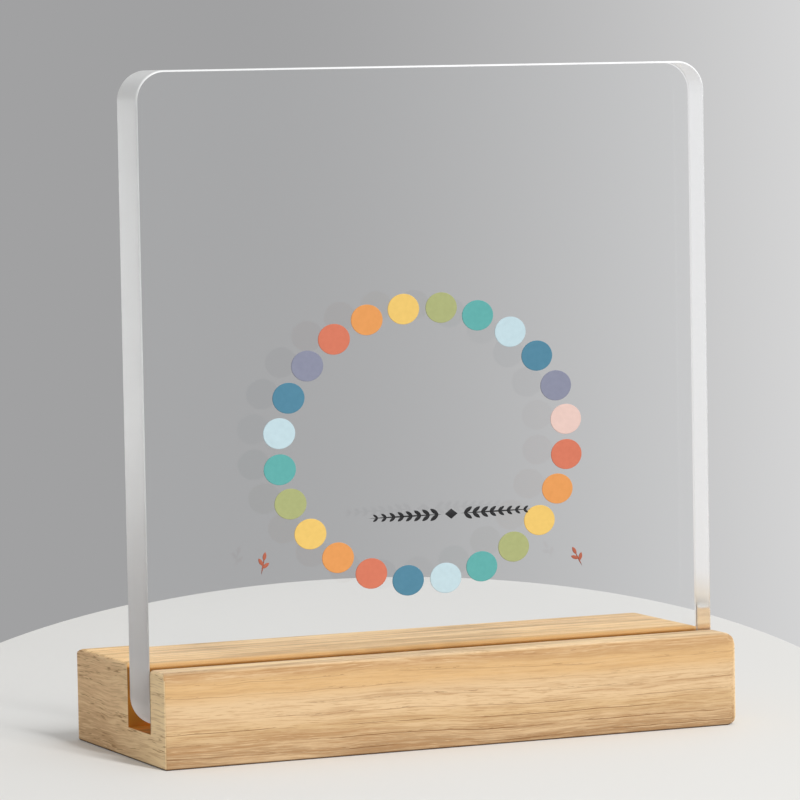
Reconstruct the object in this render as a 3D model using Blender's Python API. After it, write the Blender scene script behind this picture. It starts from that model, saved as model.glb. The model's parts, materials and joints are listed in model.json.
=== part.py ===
"""Acrylic desk sign: a thick clear plate that stands in the slot of a wooden bar.

The origin is on the table, under the middle of the bar. +X runs along the bar to the right,
+Y to the rear and +Z up. Every size is in metres.
"""
import math

import bmesh
import bpy
from mathutils import Matrix, Vector

# Wooden bar
BAR_LENGTH = 0.1355
BAR_DEPTH = 0.0536
BAR_HEIGHT = 0.0203
BAR_FRONT_ROUND = 0.0022       # radius along the front top edge
BAR_REAR_ROUND = 0.0032        # radius along the rear top edge
BAR_RIGHT_ROUND = 0.0030       # radius round the sanded right end
BAR_LEFT_ROUND = 0.0010        # radius along the left end's top edge
BAR_ARRIS = 0.0004             # broken edge along the underside and down the left end
BAR_EDGE_STEPS = 8

# Slot along the bar, open at both ends
SLOT_LIP = 0.0086              # wood in front of the slot
SLOT_FLOOR = 0.0066            # wood under the slot
SLOT_FRONT_ARRIS = 0.0003      # broken edge along the mouth's front lip
SLOT_REAR_ROUND = 0.0014       # radius along the mouth's rear lip
SLOT_ROUND_STEPS = 6
SLOT_FRONT_CLEARANCE = 0.0011  # air in front of the plate
SLOT_REAR_CLEARANCE = 0.0009   # air behind the plate
SLOT_SEAT_CLEARANCE = 0.0003   # the plate's foot above the slot's floor
CUT_OVERRUN = 0.0020           # how far a cutter runs past what it cuts

# Clear plate
PLATE_WIDTH = 0.1335
PLATE_HEIGHT = 0.1392
PLATE_THICKNESS = 0.0114
PLATE_CORNER_RADIUS = 0.0065
PLATE_CORNER_STEPS = 14
PLATE_ARRIS = 0.0004           # fine polished edge round the front and the rear face
PLATE_ARRIS_STEPS = 3
PLATE_LEFT_INSET = 0.0001      # the plate's left side behind the bar's left end

# Ring of ink dots on the plate's front face
DOT_COUNT = 24
DOT_WIDTH = 0.0074
DOT_HEIGHT = 0.0066
DOT_GAP_ACROSS = 0.0015        # bare face between neighbours at the ring's top and foot
DOT_GAP_UP = 0.0011            # bare face between neighbours at the ring's sides
DOT_BODY = 0.00016             # how thick the cured ink stands
DOT_RIM_ROUND = 0.00006
DOT_RIM_STEPS = 1
DOT_SIDES = 32
DOT_BOND = 0.00004             # between the ink and the face it is printed on
RING_FOOT = 0.0251             # from the plate's foot to the lowest dots
RING_LEFT_SHIFT = 0.0021       # the ring's middle to the left of the plate's middle
RING_TURN = math.radians(7.5)  # the first dot, counted from straight up towards the left

# Places that follow from the sizes
SLOT_WIDTH = SLOT_FRONT_CLEARANCE + PLATE_THICKNESS + SLOT_REAR_CLEARANCE
SLOT_FRONT_Y = SLOT_LIP - BAR_DEPTH / 2
PLATE_MIDDLE_Y = SLOT_FRONT_Y + SLOT_FRONT_CLEARANCE + PLATE_THICKNESS / 2
PLATE_MIDDLE_X = PLATE_LEFT_INSET + PLATE_WIDTH / 2 - BAR_LENGTH / 2
PLATE_FOOT_Z = SLOT_FLOOR + SLOT_SEAT_CLEARANCE
DOT_STEP = 2 * math.pi / DOT_COUNT
RING_HALF_WIDTH = (DOT_WIDTH + DOT_GAP_ACROSS) / (2 * math.sin(DOT_STEP / 2))
RING_HALF_HEIGHT = (DOT_HEIGHT + DOT_GAP_UP) / (2 * math.sin(DOT_STEP / 2))
RING_MIDDLE_Z = RING_FOOT + DOT_HEIGHT / 2 + RING_HALF_HEIGHT

# Ink colours, as written on a screen from 0 to 255
INKS = {
    "yellow": (244, 204, 112),
    "orange": (236, 160, 90),
    "coral": (220, 124, 96),
    "mauve": (142, 145, 166),
    "blue": (82, 137, 162),
    "light_blue": (200, 224, 232),
    "teal": (98, 178, 174),
    "olive": (176, 182, 124),
    "pink": (238, 206, 196),
}
# The order round the ring, from straight up towards the left and on round
RING_ORDER = (
    "yellow", "orange", "coral", "mauve", "blue", "light_blue", "teal", "olive",
    "yellow", "orange", "coral", "blue", "light_blue", "teal", "olive", "yellow",
    "orange", "coral", "pink", "mauve", "blue", "light_blue", "teal", "olive",
)

SMOOTH_ANGLE = math.radians(32)


def clear_scene():
    for old in list(bpy.data.objects):
        bpy.data.objects.remove(old, do_unlink=True)


def screen_colour(red, green, blue):
    """Linear colour of a screen colour given from 0 to 255."""
    def linear(level):
        share = level / 255
        return share / 12.92 if share <= 0.04045 else ((share + 0.055) / 1.055) ** 2.4
    return (linear(red), linear(green), linear(blue), 1.0)


def finish(name, colour, roughness, transmission=0.0):
    material = bpy.data.materials.new(name)
    material.use_nodes = True
    shader = material.node_tree.nodes["Principled BSDF"]
    shader.inputs["Base Color"].default_value = colour
    shader.inputs["Metallic"].default_value = 0.0
    shader.inputs["Roughness"].default_value = roughness
    shader.inputs["Transmission Weight"].default_value = transmission
    return material


def make_object(name, bm, material=None):
    """Turn a bmesh into a named, smooth shaded object in the scene."""
    bmesh.ops.recalc_face_normals(bm, faces=bm.faces)
    mesh = bpy.data.meshes.new(name)
    bm.to_mesh(mesh)
    bm.free()
    mesh.shade_smooth()
    mesh.set_sharp_from_angle(angle=SMOOTH_ANGLE)
    if material is not None:
        mesh.materials.append(material)
    obj = bpy.data.objects.new(name, mesh)
    bpy.context.scene.collection.objects.link(obj)
    return obj


def block(size_x, size_y, size_z):
    """A box on the ground plane, centred over the origin."""
    bm = bmesh.new()
    bmesh.ops.create_cube(bm, size=1)
    bmesh.ops.scale(bm, vec=Vector((size_x, size_y, size_z)), verts=bm.verts)
    bmesh.ops.translate(bm, vec=Vector((0, 0, size_z / 2)), verts=bm.verts)
    return bm


def edge_radius(edge):
    """The rounding that one edge of the plain bar gets."""
    place = (edge.verts[0].co + edge.verts[1].co) / 2
    on_right_end = place.x > BAR_LENGTH / 4
    on_left_end = place.x < -BAR_LENGTH / 4
    on_top = place.z > BAR_HEIGHT * 3 / 4
    if on_right_end:
        return BAR_RIGHT_ROUND
    if not on_top:
        return BAR_ARRIS
    if on_left_end:
        return BAR_LEFT_ROUND
    return BAR_FRONT_ROUND if place.y < 0 else BAR_REAR_ROUND


def weigh_edges(bm):
    """Store each edge's radius as a share of the widest, and return the widest."""
    weight = bm.edges.layers.float.new("bevel_weight_edge")
    widest = max(edge_radius(edge) for edge in bm.edges)
    for edge in bm.edges:
        edge[weight] = edge_radius(edge) / widest
    return widest


def rear_lip():
    """The rounding over the slot's rear lip, from its wall up and on past the bar's top."""
    centre = Vector((SLOT_FRONT_Y + SLOT_WIDTH + SLOT_REAR_ROUND, BAR_HEIGHT - SLOT_REAR_ROUND))
    arc = []
    for step in range(SLOT_ROUND_STEPS + 1):
        turn = math.pi / 2 * step / SLOT_ROUND_STEPS
        arc.append(centre + SLOT_REAR_ROUND * Vector((-math.cos(turn), math.sin(turn))))
    last = arc[-1] - arc[-2]
    return arc[:-1] + [arc[-1] + last * (CUT_OVERRUN / last.y)]


def slot_cutter():
    """The slot's section, with both lips of its mouth, run through the bar from end to end."""
    front = SLOT_FRONT_Y
    rear = SLOT_FRONT_Y + SLOT_WIDTH
    flare = SLOT_FRONT_ARRIS + CUT_OVERRUN
    section = [
        (front, SLOT_FLOOR),
        (rear, SLOT_FLOOR),
        *rear_lip(),
        (front - flare, BAR_HEIGHT + CUT_OVERRUN),
        (front, BAR_HEIGHT - SLOT_FRONT_ARRIS),
    ]
    start = -BAR_LENGTH / 2 - CUT_OVERRUN
    run = BAR_LENGTH + 2 * CUT_OVERRUN
    bm = bmesh.new()
    corners = [bm.verts.new((start, y, z)) for y, z in section]
    face = bm.faces.new(corners)
    swept = bmesh.ops.extrude_face_region(bm, geom=[face])
    moved = [item for item in swept["geom"] if isinstance(item, bmesh.types.BMVert)]
    bmesh.ops.translate(bm, vec=Vector((run, 0, 0)), verts=moved)
    cutter = make_object("slot_cutter", bm)
    cutter.hide_render = True
    cutter.display_type = "WIRE"
    return cutter


def wooden_base():
    wood = finish("pale_wood", screen_colour(222, 186, 138), roughness=0.55)
    bm = block(BAR_LENGTH, BAR_DEPTH, BAR_HEIGHT)
    widest = weigh_edges(bm)
    bar = make_object("wooden_base", bm, wood)
    rounding = bar.modifiers.new("edge_rounding", "BEVEL")
    rounding.limit_method = "WEIGHT"
    rounding.offset_type = "OFFSET"
    rounding.width = widest
    rounding.segments = BAR_EDGE_STEPS
    rounding.profile = 0.5
    slot = bar.modifiers.new("slot", "BOOLEAN")
    slot.operation = "DIFFERENCE"
    slot.solver = "EXACT"
    slot.object = slot_cutter()
    return bar


def acrylic_plate():
    """The plate with its own origin in the middle of its foot, on the line it lifts along."""
    clear = finish("clear_acrylic", screen_colour(244, 248, 250), roughness=0.03, transmission=1.0)
    bm = block(PLATE_WIDTH, PLATE_THICKNESS, PLATE_HEIGHT)
    through = [edge for edge in bm.edges if abs(edge.verts[0].co.y - edge.verts[1].co.y) > PLATE_ARRIS]
    bmesh.ops.bevel(
        bm,
        geom=through,
        affect="EDGES",
        offset_type="OFFSET",
        offset=PLATE_CORNER_RADIUS,
        segments=PLATE_CORNER_STEPS,
        profile=0.5,
        material=-1,
    )
    rims = [edge for edge in bm.edges if abs(edge.verts[0].co.y - edge.verts[1].co.y) < PLATE_ARRIS]
    bmesh.ops.bevel(
        bm,
        geom=rims,
        affect="EDGES",
        offset_type="OFFSET",
        offset=PLATE_ARRIS,
        segments=PLATE_ARRIS_STEPS,
        profile=0.5,
        material=-1,
    )
    plate = make_object("acrylic_plate", bm, clear)
    plate.location = (PLATE_MIDDLE_X, PLATE_MIDDLE_Y, PLATE_FOOT_Z)
    return plate


def dot_mesh():
    """One dot of raised ink, lying in the plane of the face with its back at y = 0."""
    bm = bmesh.new()
    bmesh.ops.create_cone(
        bm, cap_ends=True, segments=DOT_SIDES, radius1=1, radius2=1, depth=1
    )
    bmesh.ops.scale(bm, vec=Vector((DOT_WIDTH / 2, DOT_HEIGHT / 2, DOT_BODY)), verts=bm.verts)
    bmesh.ops.translate(bm, vec=Vector((0, 0, DOT_BODY / 2)), verts=bm.verts)
    rim = [edge for edge in bm.edges if min(v.co.z for v in edge.verts) > DOT_BODY / 2]
    bmesh.ops.bevel(
        bm,
        geom=rim,
        affect="EDGES",
        offset_type="OFFSET",
        offset=DOT_RIM_ROUND,
        segments=DOT_RIM_STEPS,
        profile=0.5,
        material=-1,
    )
    bmesh.ops.rotate(
        bm, cent=Vector((0, 0, 0)), matrix=Matrix.Rotation(math.radians(90), 3, "X"), verts=bm.verts
    )
    return bm


def ink_dots(plate):
    """The oval ring of dots, carried by the plate. Its size follows from the dots and their gaps."""
    inks = {name: finish("ink_" + name, screen_colour(*rgb), roughness=0.45) for name, rgb in INKS.items()}
    face_y = -PLATE_THICKNESS / 2 - DOT_BOND
    for number in range(DOT_COUNT):
        turn = RING_TURN + number * DOT_STEP
        ink = inks[RING_ORDER[number % len(RING_ORDER)]]
        dot = make_object(f"ink_dot_{number + 1:02d}", dot_mesh(), ink)
        dot.parent = plate
        dot.location = (
            -RING_LEFT_SHIFT - RING_HALF_WIDTH * math.sin(turn),
            face_y,
            RING_MIDDLE_Z + RING_HALF_HEIGHT * math.cos(turn),
        )


def main():
    clear_scene()
    wooden_base()
    plate = acrylic_plate()
    ink_dots(plate)


main()
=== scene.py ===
"""Looks of the desk sign: a pale wooden bar, a thick clear plate and a ring of raised ink dots.

Everything is in metres in the frame's own axes: +X runs along the bar to the right, +Y to the
rear and +Z up. Only the patterns of the finishes are written in millimetres.
"""
import json
import math

import bmesh
import bpy
from mathutils import Matrix, Vector


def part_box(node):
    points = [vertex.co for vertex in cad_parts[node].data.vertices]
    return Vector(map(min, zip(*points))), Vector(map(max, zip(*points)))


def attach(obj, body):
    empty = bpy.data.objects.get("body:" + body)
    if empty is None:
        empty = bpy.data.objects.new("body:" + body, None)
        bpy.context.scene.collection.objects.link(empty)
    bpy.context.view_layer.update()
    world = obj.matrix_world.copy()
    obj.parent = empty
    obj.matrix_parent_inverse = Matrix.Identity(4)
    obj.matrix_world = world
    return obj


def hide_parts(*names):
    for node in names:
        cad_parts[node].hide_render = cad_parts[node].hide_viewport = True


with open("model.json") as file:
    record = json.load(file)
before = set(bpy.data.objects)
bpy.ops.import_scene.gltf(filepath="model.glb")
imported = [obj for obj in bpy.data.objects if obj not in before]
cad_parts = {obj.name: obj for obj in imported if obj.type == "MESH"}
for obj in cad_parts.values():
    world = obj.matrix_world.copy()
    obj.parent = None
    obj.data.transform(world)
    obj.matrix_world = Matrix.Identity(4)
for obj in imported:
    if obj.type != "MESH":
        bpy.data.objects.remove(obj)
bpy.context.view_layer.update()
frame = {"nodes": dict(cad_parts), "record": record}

BAR_LOW, BAR_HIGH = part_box("wooden_base")
PLATE_LOW, PLATE_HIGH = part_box("acrylic_plate")
MM = 0.001

# Camera, at the photograph's viewing angle
CAMERA_PLACE = Vector((-0.41312, -0.93646, 0.14599))
CAMERA_YAW = math.radians(23.751)    # turned to the right of straight ahead
CAMERA_PITCH = math.radians(-4.069)
CAMERA_ROLL = math.radians(-1.028)
CAMERA_LENS = 211.04                 # in millimetres, as the sensor is
CAMERA_SENSOR = 36

# Room
TABLE_HALF_WIDTH = 0.1180            # across the camera's view
TABLE_HALF_DEPTH = 0.320
TABLE_LEFT_SHIFT = 0.0078            # across the camera's view
TABLE_THICKNESS = 0.016
TABLE_STEPS = 160
TABLE_RIM_ROUND = 0.002
TABLE_RIM_STEPS = 5
TABLE_COLOUR = (224, 223, 220)       # on a screen, as the wall's colours are
LAMP_DIRECTION = Vector((0.170, -0.775, 0.600))
LAMP_DISTANCE = 4.0
LAMP_SIZE = (0.28, 3.4)              # narrow and tall
LAMP_LEVEL = 0.86                    # what the lamp alone adds to a white face turned to it
FILL_LEVEL = 0.39                    # how bright the room is all round
CEILING_LEVEL = 0.60                 # straight overhead
RIGHT_LEVEL = 0.78                   # and at the right
WALL_GREY = (161, 161, 162)          # at the left of the view
WALL_PALE = (254, 254, 254)          # far to the right
WALL_FADE = (-0.04, 0.22)            # where it grows pale, from the view's middle to the right
WALL_BEHIND = (226, 226, 226)        # behind the camera, which sees it only reflected
BEHIND_FADE = (0.30, -0.30)          # where that begins, from ahead to behind

# Clear plate
PLATE_CORNER_RADIUS = 0.0065
PLATE_CORNER_STEPS = 28
PLATE_ARRIS = 0.0004
PLATE_ARRIS_STEPS = 4

# Slot in the bar, as cut
SLOT_LIP = 0.0086
SLOT_WIDTH = 0.0134
SLOT_FRONT_Y = BAR_LOW.y + SLOT_LIP
SLOT_REAR_Y = SLOT_FRONT_Y + SLOT_WIDTH
SLOT_FLOOR_Z = 0.0066
SLOT_REAR_ROUND = 0.0014

# Raised ink
INK_GAP = 0.00004                    # the ink stands this far off the face, as the dots do
INK_BODY = 0.00016
INK_RIM_ROUND = 0.00006
INK_RIM_STEPS = 2
INK_BRIGHTNESS = 0.81                # over the part's plain colours
INK_BLACK = (30, 30, 32)             # on a screen
INK_RED_BROWN = (168, 92, 70)

# Garland across the ring
GARLAND_MIDDLE = Vector((0.0030, 0, 0.0494))
GARLAND_HALF_WIDTH = 0.0195
GARLAND_LOZENGE = (0.0030, 0.0022)   # width and height
GARLAND_SPACE = 0.0005
GARLAND_STEM_WIDTH = 0.00034
GARLAND_PAIRS = 8
GARLAND_LEAFY_SHARE = 0.93           # how much of a stem carries leaves
GARLAND_LEAF = (0.0024, 0.0009)      # length and width nearest the middle
GARLAND_TAPER_SHARE = 0.45           # how much smaller a leaf at the end is
GARLAND_LEAN = math.radians(34)

# Sprigs beside the ring
SPRIG_LEFT = Vector((-0.0415, 0, 0.0389))
SPRIG_LEFT_LEAN = math.radians(12)
SPRIG_RIGHT = Vector((0.0342, 0, 0.0363))
SPRIG_RIGHT_LEAN = math.radians(-28)
SPRIG_STEM = (0.0036, 0.00028)       # length and width
SPRIG_LEAF = (0.0019, 0.0008)
SPRIG_LEAVES = ((0.35, 42), (0.50, -42), (0.80, 0))    # share of the stem, spread in degrees

ARC_STEPS = 12                       # along each side of a leaf
SMOOTH_ANGLE = math.radians(40)


def screen(red, green, blue):
    """Linear colour of a screen colour given from 0 to 255."""
    def linear(level):
        share = level / 255
        return share / 12.92 if share <= 0.04045 else ((share + 0.055) / 1.055) ** 2.4
    return (linear(red), linear(green), linear(blue), 1.0)


def grey(level):
    return (level, level, level, 1.0)


# Shader maths

class Wire:
    """One output of a node. Arithmetic on it adds Math nodes to its tree."""

    def __init__(self, nodes, output):
        self.nodes = nodes
        self.output = output

    def __add__(self, other):
        return self.nodes.math("ADD", self, other)

    def __sub__(self, other):
        return self.nodes.math("SUBTRACT", self, other)

    def __rsub__(self, other):
        return self.nodes.math("SUBTRACT", other, self)

    def __mul__(self, other):
        return self.nodes.math("MULTIPLY", self, other)

    def __truediv__(self, other):
        return self.nodes.math("DIVIDE", self, other)

    __radd__ = __add__
    __rmul__ = __mul__


class Nodes:
    """The nodes of one material or of the world."""

    def __init__(self, tree):
        self.tree = tree
        self.tree.nodes.clear()

    def add(self, kind, settings=None, sockets=None, output=0):
        """Add a node: its settings first, then the values or wires of its sockets."""
        node = self.tree.nodes.new(kind)
        for name, value in (settings or {}).items():
            if name == "stops":
                set_stops(node.color_ramp, value)
            else:
                setattr(node, name, value)
        for name, value in (sockets or {}).items():
            if isinstance(value, Wire):
                self.tree.links.new(value.output, node.inputs[name])
            else:
                node.inputs[name].default_value = value
        return Wire(self, node.outputs[output]) if node.outputs else None

    def math(self, operation, *values):
        return self.add("ShaderNodeMath", {"operation": operation}, dict(enumerate(values)))

    def mix(self, share, first, second):
        """The first colour where share is 0 and the second where it is 1."""
        return self.add(
            "ShaderNodeMix", {"data_type": "RGBA"}, {0: share, 6: first, 7: second}, output=2
        )

    def place(self, turn=(0, 0, 0)):
        """Object coordinates in millimetres, turned about the object's origin."""
        coordinates = self.add("ShaderNodeTexCoord", output="Object")
        return self.add(
            "ShaderNodeMapping",
            sockets={"Vector": coordinates, "Rotation": turn, "Scale": (1 / MM,) * 3},
        )

    def parts(self, vector):
        """The x, y and z of a vector."""
        split = self.add("ShaderNodeSeparateXYZ", sockets={"Vector": vector})
        return [Wire(self, output) for output in split.output.node.outputs]

    def join(self, x, y, z):
        return self.add("ShaderNodeCombineXYZ", sockets={0: x, 1: y, 2: z})

    def noise(self, vector, detail=2.0, roughness=0.5):
        """Noise about 0.5 whose spots are about one unit of the vector wide."""
        return self.add(
            "ShaderNodeTexNoise",
            {"noise_dimensions": "3D"},
            {"Vector": vector, "Scale": 1.0, "Detail": detail, "Roughness": roughness},
        )

    def spots(self, axes, sizes, detail=2.0, roughness=0.5):
        """Noise about 0.5 whose spots have a size of their own along each of three axes."""
        scaled = [axis / size for axis, size in zip(axes, sizes)]
        return self.noise(self.join(*scaled), detail, roughness)

    def dot(self, vector, other):
        return self.add(
            "ShaderNodeVectorMath", {"operation": "DOT_PRODUCT"}, {0: vector, 1: other},
            output="Value",
        )

    def step(self, value, low, high):
        """A soft step: 0 below low and 1 above high, or turned round where low is the higher."""
        return self.add(
            "ShaderNodeMapRange",
            {"interpolation_type": "SMOOTHSTEP"},
            {"Value": value, "From Min": low, "From Max": high, "To Min": 0.0, "To Max": 1.0},
        )

    def tint(self, tone, colour, value, low, high, share):
        """The tone with that share of a colour in it, where the value has gone from low to high."""
        return self.mix(self.step(value, low, high) * share, tone, colour)

    def bump(self, height, strength, depth):
        """A normal for a surface whose relief follows the height. The depth is in metres."""
        return self.add(
            "ShaderNodeBump", sockets={"Strength": strength, "Distance": depth, "Height": height}
        )


def set_stops(ramp, stops):
    """Give a colour ramp its stops, each a place from 0 to 1 and a colour."""
    while len(ramp.elements) < len(stops):
        ramp.elements.new(1.0)
    for element, (place, colour) in zip(ramp.elements, stops):
        element.position = place
        element.color = colour


def new_finish(name):
    material = bpy.data.materials.new(name)
    material.use_nodes = True
    return material, Nodes(material.node_tree)


def show(nodes, shader):
    nodes.add("ShaderNodeOutputMaterial", sockets={"Surface": shader})


# Finishes

LAYER_TILT = math.radians(1.5)       # the wood's layers fall this much towards the front
YEAR = 2.6                           # millimetres between two year lines

# Sizes of the wood's spots in millimetres: along the bar, across it and through its layers
SWAY_SIZE = (80, 40, 40)
RIPPLE_SIZE = (14, 6, 5)
CLOUD_SIZE = (30, 2.6, 1.7)
LONG_FIBRE_SIZE = (16, 0.7, 0.42)
FINE_FIBRE_SIZE = (4.5, 0.26, 0.20)
PATCH_SIZE = (18, 10, 1.2)
DASH_SIZE = (2.2, 0.22, 0.15)
PLANK_SIZE = (50, 1.5, 12)
END_WAVE_SIZE = (9, 16, 9)
END_STREAK_SIZE = (3, 7, 0.32)
END_SHADE_SIZE = (9, 14, 1.5)
END_CUT_SIZE = (3, 3.4, 0.20)

WOOD_PALE = screen(212, 182, 142)
WOOD_MIDDLE = screen(199, 167, 123)
WOOD_GOLDEN = screen(208, 170, 120)
WOOD_ROUND_SHADE = screen(186, 148, 103)
WOOD_TAN = screen(181, 149, 110)
WOOD_BROWN = screen(156, 124, 89)
WOOD_FOOT_SHADOW = screen(84, 58, 36)
WOOD_TOP_LIT = screen(246, 207, 152)
WOOD_TOP_PALE = screen(252, 220, 170)
WOOD_TOP_FRONT_SHEEN = screen(228, 202, 165)
WOOD_FIBRE = screen(162, 122, 80)
WOOD_LINE = screen(118, 80, 42)
WOOD_PORE = screen(102, 68, 38)
WOOD_LIP_SHADE = screen(210, 166, 108)
WOOD_MOUTH_SHADE = screen(200, 152, 92)
WOOD_SHADE = screen(126, 80, 20)
WOOD_SLOT_SHADE = screen(162, 104, 29)
WOOD_SLOT_FLOOR_SHADE = screen(198, 116, 36)
WOOD_END_REAR = screen(235, 197, 151)
WOOD_END_FRONT_LIT = screen(255, 226, 177)
WOOD_END_FIBRE = screen(196, 157, 113)
WOOD_CUT = screen(160, 118, 74)

# The layers' tones, from the bar's underside to its top, each at its share of the height. The last
# and darker stop, on the front's top rounding, is painted shade.
WOOD_LAYERS = (
    (0.00, WOOD_BROWN), (0.12, WOOD_BROWN), (0.26, WOOD_TAN), (0.40, WOOD_MIDDLE),
    (0.52, WOOD_PALE), (0.66, WOOD_PALE), (0.78, WOOD_GOLDEN), (0.87, WOOD_GOLDEN),
    (0.94, WOOD_ROUND_SHADE),
)


def pale_wood():
    """Planed wood with its grain along the bar and end grain on the ends, with painted shade in the
    slot, at the foot and on the front's top rounding, and painted light on the top and the ends.
    """
    wood, nodes = new_finish("pale_wood_grain")
    along, across, layer = nodes.parts(nodes.place(turn=(-LAYER_TILT, 0, 0)))
    y, z = nodes.parts(nodes.place())[1:]
    facing = nodes.add("ShaderNodeTexCoord", output="Normal")
    end = nodes.step(nodes.math("ABSOLUTE", nodes.parts(facing)[0]), 0.50, 0.85)
    top = nodes.step(z, BAR_HIGH.z / MM - 0.6, BAR_HIGH.z / MM - 0.1)

    # Layers sway and ripple along the bar.
    straight = (along, across, layer)
    sway = nodes.spots(straight, SWAY_SIZE, detail=1.0)
    ripple = nodes.spots(straight, RIPPLE_SIZE)
    height = layer + (sway - 0.5) * 2 + (ripple - 0.5) * 0.6
    swaying = (along, across, layer + (sway - 0.5) * 7 + (ripple - 0.5) * 1.0)

    tone = nodes.add("ShaderNodeValToRGB", {"stops": WOOD_LAYERS}, {"Fac": (height + 1) / 22})
    # The top is painted paler than the front: painted light, standing for the light that falls on
    # it from above.
    tone = nodes.mix(top, tone, WOOD_TOP_LIT)
    # A paler strip on the top in front of the slot is a painted sheen along the front edge.
    before_slot = nodes.step(y, SLOT_FRONT_Y / MM + 0.1, SLOT_FRONT_Y / MM - 0.4)
    tone = nodes.mix(before_slot * top * 0.85, tone, WOOD_TOP_FRONT_SHEEN)
    tone, long_fibre, fine_fibre = add_fibres(nodes, tone, swaying, layer)
    tone, line, pore = add_years(nodes, tone, straight, swaying, top)
    tone = nodes.mix(end, tone, end_grain(nodes, along, across, layer))
    # Painted shade in the slot.
    tone = slot_painted_shade(nodes, tone, end, ripple, y, z)
    # Painted contact shadow: the wood darkens over its lowest half millimetre, where it meets the
    # table.
    tone = nodes.tint(tone, WOOD_FOOT_SHADOW, z, 0.5, 0.1, 1.0)

    relief = (fine_fibre - 0.5) * 0.5 + (long_fibre - 0.5) * 0.3 - pore - line * 0.4
    show(nodes, nodes.add("ShaderNodeBsdfPrincipled", sockets={
        "Base Color": tone,
        "Roughness": 0.64 + (fine_fibre - 0.5) * 0.25 + pore * 0.2,
        "Specular IOR Level": 0.22,
        "Normal": nodes.bump(relief, strength=0.4, depth=0.00012),
    }))
    return wood


def add_fibres(nodes, tone, axes, layer):
    """Clouds, long streaks and short fine ones, all calmer high in the bar."""
    lively = 1 - nodes.step(layer, 12, 15) * nodes.step(layer, 19.6, 18.8) * 0.58
    cloud = nodes.spots(axes, CLOUD_SIZE, detail=3.0)
    tone = nodes.tint(tone, WOOD_FIBRE, cloud, 0.48, 0.70, lively * 0.50)
    tone = nodes.tint(tone, WOOD_PALE, cloud, 0.48, 0.28, lively * 0.50)
    long_fibre = nodes.spots(axes, LONG_FIBRE_SIZE)
    tone = nodes.tint(tone, WOOD_FIBRE, long_fibre, 0.50, 0.66, lively * 0.38)
    tone = nodes.tint(tone, WOOD_PALE, long_fibre, 0.50, 0.32, lively * 0.41)
    fine_fibre = nodes.spots(axes, FINE_FIBRE_SIZE, roughness=0.65)
    tone = nodes.tint(tone, WOOD_FIBRE, fine_fibre, 0.53, 0.68, lively * 0.52)
    tone = nodes.tint(tone, WOOD_PALE, fine_fibre, 0.45, 0.31, lively * 0.58)
    return tone, long_fibre, fine_fibre


def add_years(nodes, tone, straight, swaying, top):
    """Thin broken year lines, strongest low in the bar, then streaks on its top, and pores."""
    depth = swaying[2]
    year = nodes.math("FRACT", depth / YEAR + 20)
    patch = nodes.step(nodes.spots(swaying, PATCH_SIZE, detail=3.0), 0.40, 0.54)
    line = nodes.step(year, 0.90, 0.962) * nodes.step(year, 1.0, 0.970) * patch
    low = nodes.step(depth, 13.0, 7.0) * 0.65 + 0.35
    tone = nodes.mix(line * low * (1 - top * 0.6) * 0.95, tone, WOOD_LINE)

    # The top lies along the layers, so its streaks are wide.
    plank = nodes.spots(straight, PLANK_SIZE)
    tone = nodes.tint(tone, WOOD_FIBRE, plank, 0.51, 0.64, top * 0.35)
    tone = nodes.tint(tone, WOOD_TOP_PALE, plank, 0.47, 0.34, top * 0.6)

    # Pores are short dashes along the grain, most of them beside a year line.
    dash = nodes.spots(swaying, DASH_SIZE, detail=1.0)
    early = nodes.step(year, 0.22, 0.0) * 0.9 + 0.1
    pore = nodes.step(dash, 0.64, 0.70) * early * patch
    return nodes.mix(pore * 0.70, tone, WOOD_PORE), line, pore


def end_grain(nodes, along, across, layer):
    """Slanting streaks, thin wavy lines and cut pores. The end is painted paler than the long
    faces, and paler still towards the front: painted light on the end.
    """
    wave = nodes.spots((along, across, layer), END_WAVE_SIZE, detail=1.0)
    slant = layer + across * 0.05 + (wave - 0.5) * 2.4
    axes = (along, across, slant)
    # Painted light: the end grows paler towards its front.
    front_light_share = nodes.step(across, 16, -27)
    tone = nodes.mix(front_light_share, WOOD_END_REAR, WOOD_END_FRONT_LIT)
    tone = nodes.tint(tone, WOOD_END_FIBRE, layer, 14, 1, 0.64 - front_light_share * 0.45)
    shade = nodes.spots(axes, END_SHADE_SIZE)
    tone = nodes.tint(tone, WOOD_END_FIBRE, shade, 0.36, 0.64, 0.20)
    streak = nodes.spots(axes, END_STREAK_SIZE)
    tone = nodes.tint(tone, WOOD_END_FRONT_LIT, streak, 0.50, 0.34, 0.40)
    tone = nodes.tint(tone, WOOD_END_FIBRE, streak, 0.52, 0.66, 0.42)
    cut = nodes.spots(axes, END_CUT_SIZE, detail=0.0)
    return nodes.tint(tone, WOOD_CUT, cut, 0.60, 0.72, nodes.step(shade, 0.50, 0.60) * 0.75)


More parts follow.
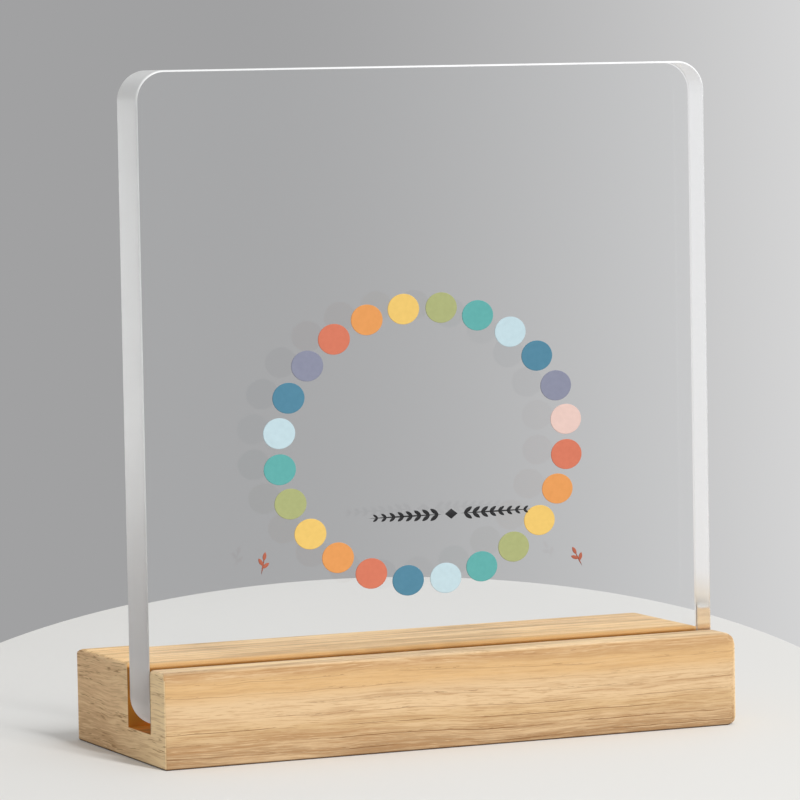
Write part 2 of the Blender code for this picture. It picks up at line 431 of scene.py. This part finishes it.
def slot_painted_shade(nodes, tone, end, ripple, y, z):
    """Painted shade in the slot: golden over its lips, darkening below them, and at its floor an
    orange brown that is painted shade warmed as by bounced light.
    """
    front = SLOT_FRONT_Y / MM
    rear = (SLOT_REAR_Y + SLOT_REAR_ROUND) / MM
    bottom = SLOT_FLOOR_Z / MM
    inside = nodes.step(y, front - 0.2, front - 0.05) * nodes.step(y, rear + 0.8, rear - 0.2)
    inside = inside * (1 - end) * nodes.step(z, bottom - 0.4, bottom - 0.1)
    below = BAR_HIGH.z / MM - z
    tone = nodes.mix(inside * 0.6, tone, WOOD_LIP_SHADE)
    tone = nodes.tint(tone, WOOD_MOUTH_SHADE, below, 0.1, 0.4, inside * 0.85)
    tone = nodes.tint(tone, WOOD_SLOT_SHADE, below, 0.5, 1.1, inside)
    tone = nodes.tint(tone, WOOD_SHADE, below, 0.7, 1.3, inside * nodes.step(below, 9, 4))
    # The orange brown at the floor is painted shade and bounce light.
    floor = inside * nodes.step(ripple, 0.60, 0.40) * 0.8
    tone = nodes.tint(tone, WOOD_SLOT_FLOOR_SHADE, z, bottom + 2.2, bottom, floor)

    # Painted shade: a thin dark line runs up the slot's front edge on the end, where the gap beside
    # the plate lies in shadow.
    from_edge = nodes.math("ABSOLUTE", y - front + 0.1)
    edge = end * nodes.step(z, bottom, bottom + 1) * 0.7
    return nodes.tint(tone, WOOD_PORE, from_edge, 0.35, 0.1, edge)


ACRYLIC_TINT = (0.990, 0.996, 1.0, 1.0)
ACRYLIC_IOR = 1.49
FACE_PASSES = (0.98, 0.985, 0.99, 1.0)    # what a lamp's light keeps on its way through a face
SIDE_PASSES = grey(0.85)                  # and through a side
SIDE_MARK_SIZE = (0.5, 6, 0.5)            # in millimetres: across, through and up the plate

MILK = screen(248, 249, 250)
MILK_MARKED = screen(253, 253, 254)
MILK_LEFT_SHADE = screen(233, 234, 234)
MILK_LEFT_LOW_SHADE = screen(196, 196, 196)
MILK_FOOT_SHADE = screen(208, 206, 203)
MILK_RIGHT_FOOT_REFLECTION = screen(244, 235, 220)


def polished_acrylic(nodes, roughness):
    return nodes.add("ShaderNodeBsdfPrincipled", sockets={
        "Base Color": ACRYLIC_TINT, "Roughness": roughness, "IOR": ACRYLIC_IOR,
        "Transmission Weight": 1.0,
    })


def lit_through(nodes, body, passes):
    """The body, with a lamp's light going straight through it in that colour."""
    straight = nodes.add("ShaderNodeBsdfTransparent", sockets={"Color": passes})
    shadow = nodes.add("ShaderNodeLightPath", output="Is Shadow Ray")
    return nodes.add("ShaderNodeMixShader", sockets={0: shadow, 1: body, 2: straight})


def clear_acrylic():
    """The plate's two polished faces, with a faint smear here and there."""
    clear, nodes = new_finish("clear_acrylic_face")
    smear = nodes.noise(nodes.place(), detail=4.0)
    body = polished_acrylic(nodes, nodes.step(smear, 0.45, 0.75) * 0.02)
    show(nodes, lit_through(nodes, body, FACE_PASSES))
    return clear


def satin_edge():
    """The sawn and polished sides of the plate: milky, with lamp light glowing through them. Their
    left side, its lower part and their feet in the slot are painted darker as shade, and the right
    foot is painted warm as a reflection of the bar.
    """
    edge, nodes = new_finish("acrylic_edge")
    across, through, up = nodes.parts(nodes.place())
    mark = nodes.spots((across, through, up), SIDE_MARK_SIZE, detail=3.0)
    left = nodes.step(across, 10, -50)
    right = nodes.step(across, 40, 60)
    # Polish marks, then painted shade on the left side, low on it and at the feet, and a painted
    # reflection at the right foot.
    milk_marks_and_painted_light = (
        (mark, MILK_MARKED),
        (left, MILK_LEFT_SHADE),
        (nodes.step(up, 75, 25) * left, MILK_LEFT_LOW_SHADE),
        (nodes.step(up, 24, 16) * (1 - right), MILK_FOOT_SHADE),
        # The warm tint at the right foot is a painted reflection of the bar.
        (nodes.step(up, 34, 25) * right, MILK_RIGHT_FOOT_REFLECTION),
    )

    # The glow is mixed from plain shaders, because only their shares may change over a surface.
    milk = MILK
    glow = nodes.add("ShaderNodeBsdfTranslucent", sockets={"Color": MILK})
    for share, colour in milk_marks_and_painted_light:
        milk = nodes.mix(share, milk, colour)
        more = nodes.add("ShaderNodeBsdfTranslucent", sockets={"Color": colour})
        glow = nodes.add("ShaderNodeMixShader", sockets={0: share, 1: glow, 2: more})
    skin = nodes.add("ShaderNodeBsdfPrincipled", sockets={
        "Base Color": milk,
        "Roughness": 0.26 + mark * 0.12,
        "IOR": ACRYLIC_IOR,
        "Normal": nodes.bump(mark, strength=0.2, depth=0.00005),
    })
    glow_share = nodes.step(up, 145, 138) * 0.45 + 0.25
    body = nodes.add("ShaderNodeMixShader", sockets={0: glow_share, 1: skin, 2: glow})

    # At its right foot the side is left clear, so that it mirrors the bar.
    polish_share = right * nodes.step(up, 28, 24) * 0.85
    body = nodes.add("ShaderNodeMixShader", sockets={
        0: polish_share, 1: body, 2: polished_acrylic(nodes, 0.05),
    })
    show(nodes, lit_through(nodes, body, SIDE_PASSES))
    return edge


INK_GRAIN_SIZE = (0.12, 0.12, 0.12)       # in millimetres
INK_LIGHTER = 1.05                        # its palest spots, over its own colour
INK_HAZE = 0.01                           # the white in those spots
INK_DARKER = 0.92                         # its darkest spots


def raised_ink(name, colour):
    """Cured ink: satin, a little uneven in tone, with the faint ripple of printed layers."""
    ink, nodes = new_finish(name)
    place = nodes.place()
    mottle = nodes.noise(place, detail=3.0)
    grain = nodes.spots(nodes.parts(place), INK_GRAIN_SIZE)
    lighter = [level * INK_LIGHTER + (1 - level) * INK_HAZE for level in colour[:3]] + [1.0]
    darker = [level * INK_DARKER for level in colour[:3]] + [1.0]
    show(nodes, nodes.add("ShaderNodeBsdfPrincipled", sockets={
        "Base Color": nodes.mix(mottle, darker, lighter),
        "Roughness": 0.42 + grain * 0.14,
        "Specular IOR Level": 0.15,
        "Normal": nodes.bump(grain, strength=0.25, depth=0.00003),
    }))
    return ink


# Pieces

def make_piece(name, bm, *finishes):
    """Turn a finished bmesh into a smooth shaded object."""
    mesh = bpy.data.meshes.new(name)
    bm.to_mesh(mesh)
    bm.free()
    mesh.shade_smooth()
    mesh.set_sharp_from_angle(angle=SMOOTH_ANGLE)
    for finish in finishes:
        mesh.materials.append(finish)
    piece = bpy.data.objects.new(name, mesh)
    bpy.context.scene.collection.objects.link(piece)
    return piece


def bevel(bm, edges, width, steps):
    bmesh.ops.bevel(
        bm, geom=list(edges), affect="EDGES", offset_type="OFFSET", offset=width,
        segments=steps, profile=0.5, material=-1,
    )


def clear_plate(face_finish, edge_finish):
    """The plate with round corners and a fine arris. Its two faces are clear, its sides satin."""
    size = PLATE_HIGH - PLATE_LOW

    def runs_through(edge):
        return abs(edge.verts[0].co.y - edge.verts[1].co.y) > size.y / 2

    bm = bmesh.new()
    bmesh.ops.create_cube(bm, size=1)
    bmesh.ops.scale(bm, vec=size, verts=bm.verts)
    corners = [edge for edge in bm.edges if runs_through(edge)]
    bevel(bm, corners, PLATE_CORNER_RADIUS, PLATE_CORNER_STEPS)
    rims = [edge for edge in bm.edges if not runs_through(edge)]
    bevel(bm, rims, PLATE_ARRIS, PLATE_ARRIS_STEPS)
    bmesh.ops.translate(bm, vec=(PLATE_LOW + PLATE_HIGH) / 2, verts=bm.verts)
    bmesh.ops.recalc_face_normals(bm, faces=bm.faces)
    for face in bm.faces:
        face.material_index = 0 if abs(face.normal.y) > 0.999 else 1
    plate = make_piece("clear_plate", bm, face_finish, edge_finish)
    keep_flat = plate.modifiers.new("flat_faces_stay_flat", "WEIGHTED_NORMAL")
    keep_flat.keep_sharp = True
    plate.visible_diffuse = False    # light through it comes once, as shadow rays
    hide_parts("acrylic_plate")
    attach(plate, "plate")


def raise_ink(bm):
    """Give flat shapes the body of cured ink and set them on the plate's front face."""
    front = bmesh.ops.extrude_face_region(bm, geom=list(bm.faces))["geom"]
    moved = [item for item in front if isinstance(item, bmesh.types.BMVert)]
    bmesh.ops.translate(bm, vec=Vector((0, -INK_BODY, 0)), verts=moved)
    bmesh.ops.recalc_face_normals(bm, faces=bm.faces)
    top = [face for face in bm.faces if face.normal.y < -0.9]
    rims = {edge for face in top for edge in face.edges}
    bevel(bm, rims, INK_RIM_ROUND, INK_RIM_STEPS)
    bmesh.ops.translate(bm, vec=Vector((0, PLATE_LOW.y - INK_GAP, 0)), verts=bm.verts)


def facing_front(place, turn=0.0):
    """Where a shape drawn flat in x and y goes: stood up, turned and moved to its place."""
    return (
        Matrix.Translation(place)
        @ Matrix.Rotation(turn, 4, "Y")
        @ Matrix.Rotation(math.radians(90), 4, "X")
    )


def lozenge(bm, place, width, height):
    size = Matrix.Diagonal((width / 2, height / 2, 1, 1))
    bmesh.ops.create_circle(
        bm, cap_ends=True, segments=4, radius=1, matrix=facing_front(place) @ size
    )


def leaf(bm, place, turn, length, width):
    """A flat leaf that grows from its place: one arc from tip to tip, and its mirror image."""
    radius = (length ** 2 / 4 + width ** 2 / 4) / width
    shape = bmesh.new()
    foot = shape.verts.new((0, 0, 0))
    bmesh.ops.spin(
        shape, geom=[foot], cent=Vector((length / 2, width / 2 - radius, 0)),
        axis=Vector((0, 0, -1)), angle=2 * math.asin(length / 2 / radius), steps=ARC_STEPS,
    )
    bmesh.ops.mirror(
        shape, geom=list(shape.verts) + list(shape.edges), axis="Y", merge_dist=width / 1000
    )
    bmesh.ops.remove_doubles(shape, verts=shape.verts, dist=width / 1000)
    bmesh.ops.contextual_create(shape, geom=list(shape.edges))
    bmesh.ops.transform(shape, matrix=facing_front(place, turn), verts=shape.verts)
    flat = bpy.data.meshes.new("leaf")
    shape.to_mesh(flat)
    shape.free()
    bm.from_mesh(flat)
    bpy.data.meshes.remove(flat)


def garland(finish):
    """A plain printed garland: leaves in pairs on two thin stems, out from a lozenge."""
    bm = bmesh.new()
    lozenge(bm, GARLAND_MIDDLE, *GARLAND_LOZENGE)
    stem_start = GARLAND_LOZENGE[0] / 2 + GARLAND_SPACE
    stem_length = GARLAND_HALF_WIDTH - stem_start
    leaf_length, leaf_width = GARLAND_LEAF
    for outward in (0.0, math.pi):
        along = Vector((math.cos(outward), 0, -math.sin(outward)))
        leaf(bm, GARLAND_MIDDLE + along * stem_start, outward, stem_length, GARLAND_STEM_WIDTH)
        for pair in range(GARLAND_PAIRS):
            share = (pair + 0.5) / GARLAND_PAIRS
            out = stem_start + stem_length * share * GARLAND_LEAFY_SHARE
            foot = GARLAND_MIDDLE + along * out
            size = 1 - GARLAND_TAPER_SHARE * share
            for lean in (-GARLAND_LEAN, GARLAND_LEAN):
                leaf(bm, foot, outward + lean, leaf_length * size, leaf_width * size)
    raise_ink(bm)
    piece = make_piece("ink_garland", bm, finish)
    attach(piece, "plate")


def sprig(name, place, lean, finish):
    """A small sprig: a stem with a leaf at its tip and a pair below."""
    bm = bmesh.new()
    stem_length, stem_width = SPRIG_STEM
    leaf_length, leaf_width = SPRIG_LEAF
    up = -math.radians(90) + lean
    leaf(bm, place, up, stem_length, stem_width)
    stem = Vector((math.cos(up), 0, -math.sin(up)))
    for share, spread in SPRIG_LEAVES:
        foot = place + stem * stem_length * share
        leaf(bm, foot, up + math.radians(spread), leaf_length, leaf_width)
    raise_ink(bm)
    piece = make_piece(name, bm, finish)
    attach(piece, "plate")


# Room

def set_camera():
    data = bpy.data.cameras.new("camera")
    data.lens = CAMERA_LENS
    data.sensor_width = CAMERA_SENSOR
    camera = bpy.data.objects.new("camera", data)
    camera.matrix_world = (
        Matrix.Translation(CAMERA_PLACE)
        @ Matrix.Rotation(-CAMERA_YAW, 4, "Z")
        @ Matrix.Rotation(math.radians(90) + CAMERA_PITCH, 4, "X")
        @ Matrix.Rotation(CAMERA_ROLL, 4, "Z")
    )
    bpy.context.scene.collection.objects.link(camera)
    bpy.context.scene.camera = camera


def set_table():
    """A plain oval table top, turned to the camera."""
    finish, nodes = new_finish("table")
    show(nodes, nodes.add("ShaderNodeBsdfPrincipled", sockets={
        "Base Color": screen(*TABLE_COLOUR), "Roughness": 0.7, "Specular IOR Level": 0.2,
    }))
    bm = bmesh.new()
    bmesh.ops.create_cone(
        bm, cap_ends=True, segments=TABLE_STEPS, radius1=1, radius2=1, depth=TABLE_THICKNESS
    )
    bmesh.ops.scale(bm, vec=Vector((TABLE_HALF_WIDTH, TABLE_HALF_DEPTH, 1)), verts=bm.verts)
    bmesh.ops.rotate(bm, matrix=Matrix.Rotation(-CAMERA_YAW, 3, "Z"), verts=bm.verts)
    rims = [edge for edge in bm.edges if edge.verts[0].co.z * edge.verts[1].co.z > 0]
    bevel(bm, rims, TABLE_RIM_ROUND, TABLE_RIM_STEPS)
    shift = TABLE_LEFT_SHIFT * Vector((-math.cos(CAMERA_YAW), math.sin(CAMERA_YAW), 0))
    shift.z = -TABLE_THICKNESS / 2
    bmesh.ops.translate(bm, vec=shift, verts=bm.verts)
    make_piece("table", bm, finish)


def set_light():
    """One tall soft lamp at the front, and a pale room, brighter above and at the right."""
    data = bpy.data.lights.new("soft_lamp", "AREA")
    data.shape = "RECTANGLE"
    data.size, data.size_y = LAMP_SIZE
    data.energy = LAMP_LEVEL * math.pi ** 2 * LAMP_DISTANCE ** 2
    lamp = bpy.data.objects.new("soft_lamp", data)
    lamp.matrix_world = (
        Matrix.Translation(LAMP_DIRECTION.normalized() * LAMP_DISTANCE)
        @ LAMP_DIRECTION.to_track_quat("Z", "Y").to_matrix().to_4x4()
    )
    bpy.context.scene.collection.objects.link(lamp)

    world = bpy.data.worlds.new("room")
    world.use_nodes = True
    bpy.context.scene.world = world
    nodes = Nodes(world.node_tree)
    view = nodes.add("ShaderNodeTexCoord", output="Generated")
    rightward = nodes.dot(view, (math.cos(CAMERA_YAW), -math.sin(CAMERA_YAW), 0))
    forward = nodes.dot(view, (math.sin(CAMERA_YAW), math.cos(CAMERA_YAW), 0))
    wall = nodes.mix(nodes.step(rightward, *WALL_FADE), screen(*WALL_GREY), screen(*WALL_PALE))
    wall = nodes.mix(nodes.step(forward, *BEHIND_FADE), wall, screen(*WALL_BEHIND))

    # The wall is what is seen, also in and through the plate. The fill is what lights the sign.
    to_right, upward = nodes.parts(view)[::2]
    fill = nodes.mix(nodes.step(upward, 0, 1), grey(FILL_LEVEL), grey(CEILING_LEVEL))
    fill = nodes.mix(nodes.step(to_right, 0, 1), fill, grey(RIGHT_LEVEL))
    path = nodes.add("ShaderNodeLightPath").output.node.outputs
    camera, glossy, clear = (
        Wire(nodes, path[f"Is {ray} Ray"]) for ray in ("Camera", "Glossy", "Transmission")
    )
    seen = nodes.math("MAXIMUM", nodes.math("MAXIMUM", camera, glossy), clear)
    room = nodes.mix(seen, fill, wall)
    background = nodes.add("ShaderNodeBackground", sockets={"Color": room})
    nodes.add("ShaderNodeOutputWorld", sockets={"Surface": background})


def dress_frame():
    """Give every carried-over CAD node its finish."""
    frame["nodes"]["wooden_base"].material_slots[0].material = pale_wood()
    inks = {}
    for row in frame["record"]["materials"]:
        if row["slot"].startswith("ink_"):
            colour = [min(1.0, level * INK_BRIGHTNESS) for level in row["base_color"][:3]]
            inks[row["slot"]] = raised_ink(row["slot"] + "_print", (*colour, 1.0))
    for name, node in frame["nodes"].items():
        if name.startswith("ink_dot"):
            slot = node.material_slots[0]
            slot.material = inks[slot.material.name]


def main():
    set_camera()
    set_table()
    set_light()
    dress_frame()
    clear_plate(clear_acrylic(), satin_edge())
    garland(raised_ink("ink_black_print", screen(*INK_BLACK)))
    red_brown = raised_ink("ink_red_brown_print", screen(*INK_RED_BROWN))
    sprig("ink_sprig_left", SPRIG_LEFT, SPRIG_LEFT_LEAN, red_brown)
    sprig("ink_sprig_right", SPRIG_RIGHT, SPRIG_RIGHT_LEAN, red_brown)
    bpy.context.scene.view_settings.view_transform = "Standard"


main()
